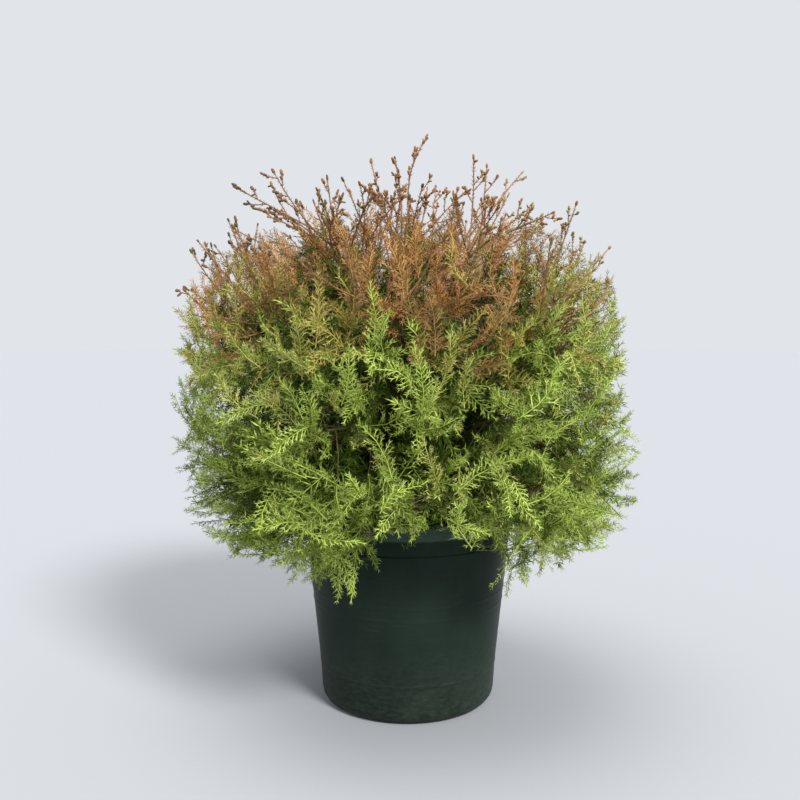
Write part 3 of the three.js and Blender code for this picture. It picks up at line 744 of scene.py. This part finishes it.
# The share of the first eight tones at each height, in hundredths.
TONE_HEIGHTS = (80, 140, 200, 232, 250, 272, 340)
TONE_SHARES = (
    (8, 42, 40, 10, 0, 0, 0, 0),
    (5, 36, 42, 16, 1, 0, 0, 0),
    (4, 30, 42, 21, 2, 0, 0, 1),
    (3, 22, 36, 27, 10, 1, 0, 1),
    (0, 3, 6, 22, 40, 16, 8, 5),
    (0, 0, 0, 3, 25, 28, 25, 19),
    (0, 0, 0, 0, 17, 28, 31, 24),
)
# Foliage this far inside the crown's outline is in the shade: deep green, with some dry and brown.
SHADE = ((8, 22), (0, 1))
DRY_SHARE = 0.12
# Smooth patches move the tones up or down by so many millimetres.
PATCH = Sizes(high=9, x_wave=0.043, x_start=1.1, y_wave=0.051, y_start=0.4, z_wave=0.07, z_lean=0.02)
# The sprays of one fan share most of their draw, which is scrambled from the place of its tip.
SCRAMBLE = Sizes(x=12.9, y=78.2, z=37.7, spread=4375.5, shared=0.65, own=0.35)
# Low on the crown, the tones are drawn paler on the right and darker on the left: painted light from the
# right.
TONE_BY_SIDE = Sizes(
    left_loss=12, right_loss=30, outer=((40, 95), (0, 1)), lime_at=-24, lime_wide=20, lime=20,
    lighter=0.2, low=((190, 225), (1, 0)), last_draw=0.985,
)
TWIG_COLOURS = {"tan_twigs": (82, 76, 40), "reddish_twigs": (108, 84, 48)}
# The tan is the red stems' colour painted paler where the light falls, on the right of the crown:
# painted light.
SHOOT_COLOURS = {"red_stems": (146, 102, 66), "tan_stems": (150, 124, 84)}
CLUB_COLOURS = {
    "clubs_1": (86, 80, 48), "clubs_2": (122, 86, 54), "clubs_3": (152, 108, 68),
    "clubs_4": (140, 130, 78),
}


def linear(channels):
    """A colour written in screen numbers, as the renderer's own."""
    shares = [channel / 255 for channel in channels]
    return tuple(s / 12.92 if s <= 0.04045 else ((s + 0.055) / 1.055) ** 2.4 for s in shares) + (1,)


def new_material(name, roughness, specular=0.3):
    material = bpy.data.materials.new(name)
    material.use_nodes = True
    shader = material.node_tree.nodes["Principled BSDF"]
    shader.inputs["Roughness"].default_value = roughness
    shader.inputs["Specular IOR Level"].default_value = specular
    return material, shader


def plain_material(name, channels, roughness, specular=0.3):
    material, shader = new_material(name, roughness, specular)
    shader.inputs["Base Color"].default_value = linear(channels)
    return material


def plain_materials(colours, roughness):
    return [plain_material(name, channels, roughness) for name, channels in colours.items()]


def needle_materials():
    """Two materials for each tone: one for the inner needles, and a paler one, a painted highlight, for
    the outer needles and the axes.
    """
    made = []
    for name, (inner, light) in COLOURS.items():
        made.append(plain_material(f"needles_{name}", inner, 0.6, 0.15))
        made.append(plain_material(f"needles_{name}_light", light, 0.55, 0.2))
    return made


def tones_of(sprays, rng):
    """A tone for each spray, by the shares of its height, moved up or down in smooth patches."""
    x, y, z = sprays.fan_tip.T
    side = TONE_BY_SIDE
    patches = np.sin(x * PATCH.x_wave + PATCH.x_start) * np.sin(y * PATCH.y_wave + PATCH.y_start)
    patches = patches + np.sin(z * PATCH.z_wave + x * PATCH.z_lean)
    height = z + PATCH.high * patches
    for away, loss in ((-x, side.left_loss), (x, side.right_loss)):
        height = height - loss * np.interp(away, *side.outer)
    in_front = np.clip(-y / CROWN.hem_radius, 0, 1)
    height = height - side.lime * in_front * np.exp(-((x - side.lime_at) / side.lime_wide) ** 2)
    shares = [np.interp(height, TONE_HEIGHTS, column) for column in np.array(TONE_SHARES).T / 100]
    sums = np.cumsum(np.array(shares).T, axis=1)
    mixed = np.sin(x * SCRAMBLE.x + y * SCRAMBLE.y + z * SCRAMBLE.z)
    by_fan = np.modf(np.abs(mixed) * SCRAMBLE.spread)[0]
    draw = by_fan * SCRAMBLE.shared + rng.uniform(0, SCRAMBLE.own, len(x))
    # Painted light: below the shoulder, the right side draws paler tones and the left side darker ones.
    draw = draw + side.lighter * x / CROWN.girth * np.interp(z, *side.low)
    draw = np.clip(draw, 0, side.last_draw)
    tones = np.sum(sums < (draw * sums[:, -1])[:, None], axis=1)
    is_dry = rng.uniform(0, 1, len(x)) < DRY_SHARE
    shaded = np.where(is_dry, TONE_NAMES.index("dry"), TONE_NAMES.index("shaded"))
    tips = sprays.root + sprays.heading * sprays.length[:, None]
    shade = sprays.shade * np.interp(reach_at(tips) - out_of(tips), *SHADE)
    return np.where(rng.uniform(0, 1, len(x)) < shade, shaded, tones)


# Materials with a pattern: green plastic, potting mix and bark

def add_node(tree, kind, inputs=None, **settings):
    """A new node's outputs. Its inputs, by name or number, are fed by sockets or set to values."""
    made = tree.nodes.new(kind)
    for name, value in settings.items():
        setattr(made, name, value)
    for name, value in (inputs or {}).items():
        if isinstance(value, bpy.types.NodeSocket):
            tree.links.new(value, made.inputs[name])
        else:
            made.inputs[name].default_value = value
    return made.outputs


def speckle_group():
    """Soft-edged specks of noise along any coordinates, stretched by a vector."""
    group = bpy.data.node_groups.new("speckle", "ShaderNodeTree")
    for name in ("Vector", "Stretch"):
        group.interface.new_socket(name, in_out="INPUT", socket_type="NodeSocketVector")
    for name in ("Detail", "From", "To"):
        group.interface.new_socket(name, in_out="INPUT", socket_type="NodeSocketFloat")
    group.interface.new_socket("Mask", in_out="OUTPUT", socket_type="NodeSocketFloat")
    given = add_node(group, "NodeGroupInput")
    factors = {0: given["Vector"], 1: given["Stretch"]}
    stretched = add_node(group, "ShaderNodeVectorMath", factors, operation="MULTIPLY")[0]
    fineness = {"Vector": stretched, "Scale": 1, "Detail": given["Detail"]}
    noise = add_node(group, "ShaderNodeTexNoise", fineness)["Fac"]
    limits = {"Value": noise, "From Min": given["From"], "From Max": given["To"]}
    mask = add_node(group, "ShaderNodeMapRange", limits)["Result"]
    add_node(group, "NodeGroupOutput", {"Mask": mask})
    return group


SPECKLE = speckle_group()


class Coat:
    """A patterned material, whose colours are laid on one over the other by masks."""

    def __init__(self, name, colour, roughness, specular, attribute=None):
        self.material, self.shader = new_material(name, roughness, specular)
        self.colour = linear(colour)
        if attribute:
            self.place = self.add("ShaderNodeAttribute", attribute_name=attribute)["Vector"]
        else:
            self.place = self.add("ShaderNodeTexCoord")["Object"]

    def add(self, kind, inputs=None, **settings):
        return add_node(self.material.node_tree, kind, inputs, **settings)

    def specks(self, stretch, first, last, detail=3):
        """A mask of specks, which runs from 0 at the first noise value to 1 at the last."""
        inputs = {"Vector": self.place, "Stretch": stretch, "Detail": detail, "From": first, "To": last}
        return self.add("ShaderNodeGroup", inputs, node_tree=SPECKLE)["Mask"]

    def heights(self, first, last):
        """A mask that runs from 0 at the first height in metres to 1 at the last."""
        height = self.add("ShaderNodeSeparateXYZ", {0: self.place})["Z"]
        return self.add("ShaderNodeMapRange", {"Value": height, "From Min": first, "From Max": last})[0]

    def lay(self, colour, mask, *others):
        """Lays a colour over the ones before by a mask, times other masks or shares."""
        for other in others:
            mask = self.add("ShaderNodeMath", {0: mask, 1: other}, operation="MULTIPLY")[0]
        inputs = {"Factor": mask, 6: self.colour, 7: linear(colour)}
        self.colour = self.add("ShaderNodeMix", inputs, data_type="RGBA")[2]

    def feed(self, entry, socket):
        self.material.node_tree.links.new(socket, self.shader.inputs[entry])

    def finish(self, relief, depth):
        """Gives the material its colour and a relief of a depth in metres."""
        self.feed("Base Color", self.colour)
        self.feed("Normal", self.add("ShaderNodeBump", {"Height": relief, "Distance": depth})["Normal"])
        return self.material


def pot_plastic():
    """Dark green moulded plastic: greyer where it is scuffed, paler and flecked pale on its lip as a
    painted highlight, dusty near its foot.
    """
    coat = Coat("green_pot_plastic", (24, 35, 29), 0.5, 0.06)
    lip = coat.heights(0.1165, 0.1180)
    low = coat.heights(0.05, 0.0)
    streaks = coat.specks((60, 60, 1500), 0.6, 0.72, 4)
    coat.lay((34, 46, 39), coat.specks((28, 28, 22), 0.3, 0.7))
    # The paler lip and the pale flecks on it are a painted highlight.
    coat.lay((62, 80, 69), lip, 0.8)
    coat.lay((66, 80, 71), streaks, 0.12)
    coat.lay((112, 112, 98), coat.specks((240, 240, 420), 0.35, 0.85, 6), low, 0.18)
    coat.lay((152, 166, 152), coat.specks((90, 90, 420), 0.6, 0.68, 5), lip, 0.75)
    rough = coat.add("ShaderNodeMapRange", {"Value": streaks, "To Min": 0.4, "To Max": 0.58})[0]
    coat.feed("Roughness", rough)
    return coat.finish(coat.specks((900, 900, 900), 0.2, 0.8), 0.00004)


def potting_mix():
    coat = Coat("brown_potting_mix", (34, 25, 18), 0.95, 0.15)
    crumbs = coat.specks((420, 420, 420), 0.35, 0.65, 5)
    coat.lay((84, 64, 46), crumbs)
    coat.lay((132, 108, 80), coat.specks((900, 160, 300), 0.64, 0.72), 0.7)
    return coat.finish(crumbs, 0.0006)


def fibrous_bark():
    """Reddish-brown bark in long thin strips, grey where it has weathered."""
    coat = Coat("fibrous_bark", (84, 58, 44), 0.85, 0.2, "straight")
    strips = coat.specks((0.9, 0.9, 0.09), 0.35, 0.65, 5)
    coat.lay((142, 106, 82), strips)
    coat.lay((150, 136, 118), coat.specks((0.25, 0.25, 0.12), 0.45, 0.7), 0.6)
    return coat.finish(strips, 0.0005)


# The pot, what fills it, and the limbs

POT_LOOK = Sizes(sides=128, ridges=(25, 67, 75), ridge=0.3, ridge_width=1.3, soft=0.6, pole=0.02)
MIX = Sizes(
    sides=96, rings=40, uneven=0.7, dip_at=0.45, ridge_at=0.7, stem_room=13.5, rim_room=1.6,
    crumbs=1100, crumb=(0.7, 2.0), crumb_lift=0.4, corner_vary=(0.5, 1.1), stretch=(0.5, 1.4), flat=0.6,
)
LIMB = Sizes(
    stem_sides=28, stem_steps=90, sides=12, steps=30, stem_relief=0.45, relief=0.14, sunk=1.6,
    ridges=((0.5, 5, 7), (0.3, 9, -11)), knots=(0.3, 3, 4, 5),
)


def wall_radius(height):
    return POT.base_radius + POT.flare * height


def rounded(corners, steps=5):
    """A profile whose corners, given as radius, height and rounding, are rounded off."""
    corners = np.array(corners, float)
    line = [corners[0, :2]]
    for before, corner, after in zip(corners, corners[1:], corners[2:]):
        back = before[:2] - corner[:2]
        ahead = after[:2] - corner[:2]
        back = back * min(corner[2] / np.linalg.norm(back), 0.5)
        ahead = ahead * min(corner[2] / np.linalg.norm(ahead), 0.5)
        for t in np.linspace(0, 1, steps):
            line.append(corner[:2] + back * (1 - t) ** 2 + ahead * t ** 2)
    line.append(corners[-1, :2])
    return np.array(line)


def lathe_mesh(profile, sides):
    """Corners and four-sided faces of a profile of radius and height turned about the axis."""
    corners = round_axis(profile[:, :1], circle(sides), profile[:, 1:])
    return corners.reshape(-1, 3), ring_walls(len(profile), sides)


def make_pot(material):
    foot = POT.foot_radius + POT.foot_curve
    soft = POT_LOOK.soft
    corners = [(POT_LOOK.pole, 0, 0), (foot, 0, POT.foot_curve)]
    for ridge in POT_LOOK.ridges:
        for height, proud in ((-1, 0), (0, POT_LOOK.ridge), (1, 0)):
            z = ridge + height * POT_LOOK.ridge_width
            corners.append((wall_radius(z) + proud, z, soft))
    groove = POT.groove_height
    corners += [
        (wall_radius(groove - POT.edge), groove - POT.edge, soft),
        (wall_radius(groove) - POT.groove_depth, groove, soft / 2),
        (POT.collar_radius, groove + POT.edge, soft),
        (POT.collar_radius, POT.lip_bottom, soft / 2),
        (POT.lip_radius, POT.lip_bottom + POT.edge, 2 * soft),
        (POT.lip_radius, POT.height, 2 * POT.lip_curve),
        (POT.lip_inner, POT.height, 2 * POT.lip_curve),
        (POT.lip_inner, POT.lip_bottom, soft),
        (wall_radius(groove) - POT.wall, groove, soft),
        (wall_radius(POT.foot_curve) - POT.wall, POT.floor, POT.foot_curve),
        (POT_LOOK.pole, POT.floor, 0),
    ]
    pot = new_piece("pot_shell", [lathe_mesh(rounded(corners), POT_LOOK.sides)], [material])
    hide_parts("pot")


def mix_height(radius):
    inner = POT.lip_inner
    places = (MEDIUM.seat_radius, inner * MIX.dip_at, inner * MIX.ridge_at, inner)
    return np.interp(radius, places, (MEDIUM.top, MEDIUM.dip_top, MEDIUM.ridge_top, MEDIUM.edge_top))


def crumb_mesh(rim, rng):
    """Crumbs and bits of bark, of eight faces each, on the potting mix."""
    count = MIX.crumbs
    out = np.sqrt(rng.uniform((MIX.stem_room / rim) ** 2, 1, count)) * (rim - MIX.crumb[1])
    angle = rng.uniform(0, 2 * math.pi, count)
    middles = round_axis(out, angle, mix_height(out) + MIX.crumb_lift)
    shape = np.concatenate([np.eye(3), -np.eye(3)])
    size = rng.uniform(*MIX.crumb, (count, 1, 1)) * rng.uniform(*MIX.corner_vary, (count, 6, 1))
    stretch = rng.uniform(*MIX.stretch, (count, 1, 3)) * (1, 1, MIX.flat)
    turn = rng.uniform(0, 2 * math.pi, (count, 1))
    points = middles[:, None] + turned(shape * size * stretch, UP, turn)
    sides = ((0, 1, 2), (1, 3, 2), (3, 4, 2), (4, 0, 2), (1, 0, 5), (3, 1, 5), (4, 3, 5), (0, 4, 5))
    faces = np.arange(count)[:, None, None] * len(shape) + np.array(sides)
    return points.reshape(-1, 3), faces.reshape(-1, 3)


def make_potting_mix(material):
    """An uneven top with crumbs lying on it, closed below inside the pot."""
    rng = np.random.default_rng(PLAN.seed_first)
    rim = POT.lip_inner - MIX.rim_room
    radius = np.linspace(rim, POT_LOOK.pole, MIX.rings)
    top = np.stack([radius, mix_height(radius)], axis=1)
    foot = wall_radius(POT.foot_curve) - 2 * POT.wall
    floor = POT.floor + GAP
    below = [(POT_LOOK.pole, floor), (foot, floor), (rim - POT.wall, POT.groove_height)]
    corners, faces = lathe_mesh(np.concatenate([below, top]), MIX.sides)
    on_top = corners[:, 2] > POT.groove_height
    corners[on_top, 2] += rng.uniform(-MIX.uneven, MIX.uneven, np.sum(on_top))
    parts = [(corners, halved(faces)), crumb_mesh(rim, rng)]
    mix = new_piece("potting_mix_crumbs", parts, [material])
    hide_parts("growing_medium")


def limb_mesh(line, radii, sides, relief):
    """A limb with long shallow ridges that wander round it, and its bark's own coordinates."""
    angle = circle(sides)
    run = np.concatenate([[0], np.cumsum(np.linalg.norm(np.diff(line, axis=0), axis=1))])[:, None]
    ridges = sum(high * np.sin(count * angle + run / wave) for high, count, wave in LIMB.ridges)
    high, count, wave, beat = LIMB.knots
    ridges = ridges + high * np.sin(count * angle + run / wave) * np.sin(run / beat)
    around = radii[:, None] + relief * ridges
    corners, faces = tube_mesh(line[None], around[None], sides)
    return corners, faces, round_axis(radii[:, None], angle, run).reshape(-1, 3)


def make_limbs(material):
    """The stem and the boughs, joined, in fibrous bark."""
    along = np.linspace(0, 1, LIMB.stem_steps)
    line = bezier(STEM_CURVE, along)
    line[0, 2] -= LIMB.sunk
    limbs = [limb_mesh(line, stem_radius(along), LIMB.stem_sides, LIMB.stem_relief)]
    along = np.linspace(0, 1, LIMB.steps)
    carried = [mass for mass in MASSES if mass.bough_node]
    for mass in carried:
        radii = between(mass.bough_radius, MASS_STEM_RADIUS, along)
        limbs.append(limb_mesh(bezier(mass.bough, along), radii, LIMB.sides, LIMB.relief))
    piece = new_piece("stem_and_boughs", [limb[:2] for limb in limbs], [material])
    straight = piece.data.attributes.new("straight", "FLOAT_VECTOR", "POINT")
    straight.data.foreach_set("vector", np.concatenate([limb[2] for limb in limbs]).ravel())
    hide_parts("main_stem", *[mass.bough_node for mass in carried])


# The foliage, joined by tier and by the quarter of the crown that it is in

def make_sprays(sprays):
    rng = np.random.default_rng(PLAN.seed_first)
    paints = needle_materials()
    tones = tones_of(sprays, rng)
    needles = grow_needles(grow_branchlets(sprays, rng), rng)
    clear = clear_of_pot(needles.root + needles.way * needles.length[:, None], GAP)
    steps = np.linspace(0, SPRAY.last, SPRAY.steps)
    tier_of = np.array([mass.tier for mass in MASSES])
    is_left, is_front, _ = (SITES < 0).T
    halves = {"front": is_front, "back": ~is_front}
    sides = {"left": is_left, "right": ~is_left}
    for tier in [tier.name for tier in TIERS]:
        for half, side in product(halves, sides):
            here = (tier_of == tier) & halves[half] & sides[side]
            blades = take(needles, here[sprays.mass[needles.spray]] & clear)
            chosen = np.nonzero(here[sprays.mass])[0]
            lines = [axis_points(sprays, chosen, np.full(len(chosen), step)) for step in steps]
            radii = taper(SPRAY.radii, len(chosen), steps)
            parts = [blade_mesh(blades), tube_mesh(np.stack(lines, axis=1), radii, SPRAY.sides)]
            # The second material of each tone is its painted highlight, for the outer needles and the
            # spray's axis.
            numbers = [tones[blades.spray] * 2 + blades.light, tones[chosen] * 2 + 1]
            piece = new_piece(f"sprays_{tier}_{half}_{side}", parts, paints, numbers)
            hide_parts(*[MASSES[number].node for number in np.nonzero(here)[0]])


def make_twigs(twig_sets):
    """The masses' own stems and the twigs on them, tan below and redder above."""
    stems = tuple(np.stack([mass.curve[control] for mass in MASSES]) for control in range(3))
    radii = (MASS_STEM_RADIUS, TWIG.radius)
    parts = [stalks_mesh(stems, radii, TWIG.steps, TWIG.stem_sides, FAN.stem_shown)]
    radii = (TWIG.radius, TWIG.tip_radius)
    parts += [stalks_mesh(twigs, radii, TWIG.steps, TWIG.sides) for twigs in twig_sets]
    is_red = [curves[2][:, 2] > TWIG.redder_from for curves in (stems, *twig_sets)]
    new_piece("twigs", parts, plain_materials(TWIG_COLOURS, 0.7), is_red)


def shoot_needles(curves, steps, rng):
    """Needles along each step of the shoots' stems or branches."""
    lines = bezier_lines(curves, np.linspace(0, 1, steps))
    roots = lines[:, :-1].reshape(-1, 3)
    spans = np.diff(lines, axis=1).reshape(-1, 3)
    ways = unit(spans)
    return grow_needles(Sizes(
        root=roots, way=ways, side=across_of(ways, UP), length=np.linalg.norm(spans, axis=1),
        spray=np.zeros(len(roots), int), fine=np.full(len(roots), SHOOT.needle_size),
    ), rng)


def shoot_tones(places, rng):
    """Olive-grey on the left, brown and bronze in the middle, paler olive on the right, mixed."""
    last = len(CLUB_COLOURS) - 1
    share = 0.5 + 0.5 * places[:, 0] / CROWN.girth
    tones = np.round(share * last + rng.normal(0, SHOOT.tone_vary, len(places)))
    return np.clip(tones, 0, last).astype(int)


def make_shoots():
    rng = np.random.default_rng(PLAN.seed_step)
    stems, branches, roots, ways = grow_shoots(rng)
    parts = [
        stalks_mesh(stems, SHOOT.radii, SHOOT.steps, SHOOT.sides),
        stalks_mesh(branches, SHOOT.branch_radii, SHOOT.branch_steps, SHOOT.branch_sides),
    ]
    # Stems and branches on the right, where the light falls, take the paler tan: painted light.
    is_painted_lit = [curves[2][:, 0] > SHOOT.paler_from for curves in (stems, branches)]
    new_piece("shoot_stems", parts, plain_materials(SHOOT_COLOURS, 0.65), is_painted_lit)
    paints = plain_materials(CLUB_COLOURS, 0.6)
    clubs = club_mesh(roots, ways, rng)
    tones = shoot_tones(roots, rng)
    new_piece("shoot_clubs", [clubs], paints, [tones])
    limbs = ((stems, SHOOT.steps), (branches, SHOOT.branch_steps))
    blades = join_rows([shoot_needles(curves, steps, rng) for curves, steps in limbs])
    tones = shoot_tones(blades.root, rng)
    new_piece("shoot_needles", [blade_mesh(blades)], paints, [tones])


# The stage: floor, light and camera

CAMERA = Sizes(distance=611, height=256, across=-5.2, pitch=0.10, focus=947, frame=800, sensor=36)
FLOOR = Sizes(radius=5, sides=96, colour=(161, 163, 166))
SKY = Sizes(colour=(0.92, 0.95, 1.0, 1), strength=0.82)
# Each light's way, its spread in degrees and its strength.
LIGHTS = {"key": ((0.84, -1.25, 1.28), 16, 3.7), "top": ((-0.2, -0.1, 1.8), 40, 1.8)}


def pale_floor():
    mesh = bpy.data.meshes.new("floor")
    rim = round_axis(FLOOR.radius, circle(FLOOR.sides), 0)
    mesh.from_pydata(rim.tolist(), [], [range(FLOOR.sides)])
    mesh.materials.append(plain_material("floor_paint", FLOOR.colour, 0.9, 0.05))
    add_to_scene("floor", mesh)


def soft_light(name, way, spread, strength):
    """Light that comes from one way all over the floor, as wide as the spread in degrees."""
    data = bpy.data.lights.new(name, "SUN")
    data.angle = math.radians(spread)
    data.energy = strength
    lamp = add_to_scene(name, data)
    lamp.location = way
    lamp.rotation_mode = "QUATERNION"
    lamp.rotation_quaternion = (-Vector(way)).to_track_quat("-Z", "Y")


def set_stage():
    pale_floor()
    world = bpy.data.worlds.new("studio")
    world.use_nodes = True
    sky = world.node_tree.nodes["Background"].inputs
    sky["Color"].default_value = SKY.colour
    sky["Strength"].default_value = SKY.strength
    bpy.context.scene.world = world
    bpy.context.scene.view_settings.view_transform = "Standard"
    for name, light in LIGHTS.items():
        soft_light(name, *light)


def photo_camera():
    data = bpy.data.cameras.new("camera")
    data.sensor_width = CAMERA.sensor
    data.lens = CAMERA.focus / CAMERA.frame * CAMERA.sensor
    camera = add_to_scene("camera", data)
    camera.location = (CAMERA.across * MM, -CAMERA.distance * MM, CAMERA.height * MM)
    camera.rotation_euler = (math.pi / 2 - CAMERA.pitch, 0, 0)
    bpy.context.scene.camera = camera


grown = [grow_layer(layer, number) for number, layer in enumerate(LAYERS)]
make_sprays(join_rows([sprays for sprays, _ in grown]))
make_twigs([twigs for _, twigs in grown])
make_shoots()
make_limbs(fibrous_bark())
make_pot(pot_plastic())
make_potting_mix(potting_mix())
set_stage()
photo_camera()
